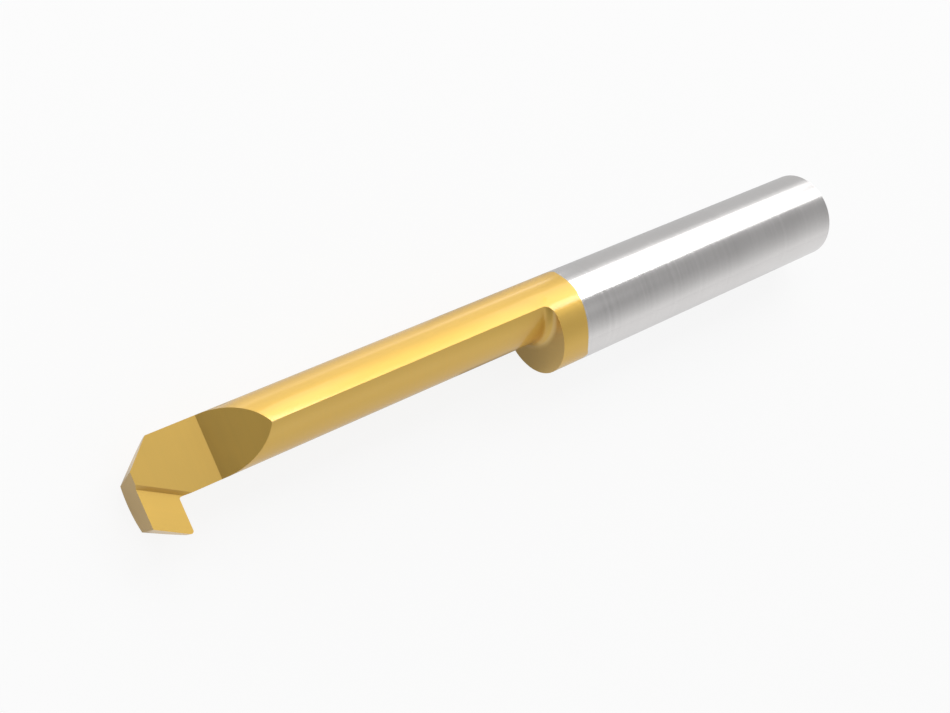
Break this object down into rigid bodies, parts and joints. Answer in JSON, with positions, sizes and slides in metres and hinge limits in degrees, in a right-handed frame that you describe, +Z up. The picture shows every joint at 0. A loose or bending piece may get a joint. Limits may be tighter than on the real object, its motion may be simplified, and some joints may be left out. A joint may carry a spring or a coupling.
{
  "type": "internal grooving tool",
  "caption": "Round-shank bar for grooving inside small bores, ground from solid carbide, with a relieved neck and a half-round head with a side tooth.",
  "frame": {"origin": "on the shank axis, in the plane of the shoulder where the round shank meets the neck", "axes": "+X along the shank axis to the clamped end, +Z up out of the flat rake face, and -Y to the side that the tooth points to"},
  "size_m": [0.0527, 0.006, 0.006],
  "materials": {
    "coated_carbide": "fine ground carbide with a satin gold coating on the neck and head, and bare bright grey on the shank"
  },
  "bodies": {
    "root": {"grooving_bar": "coated_carbide"}
  },
  "joints": []
}
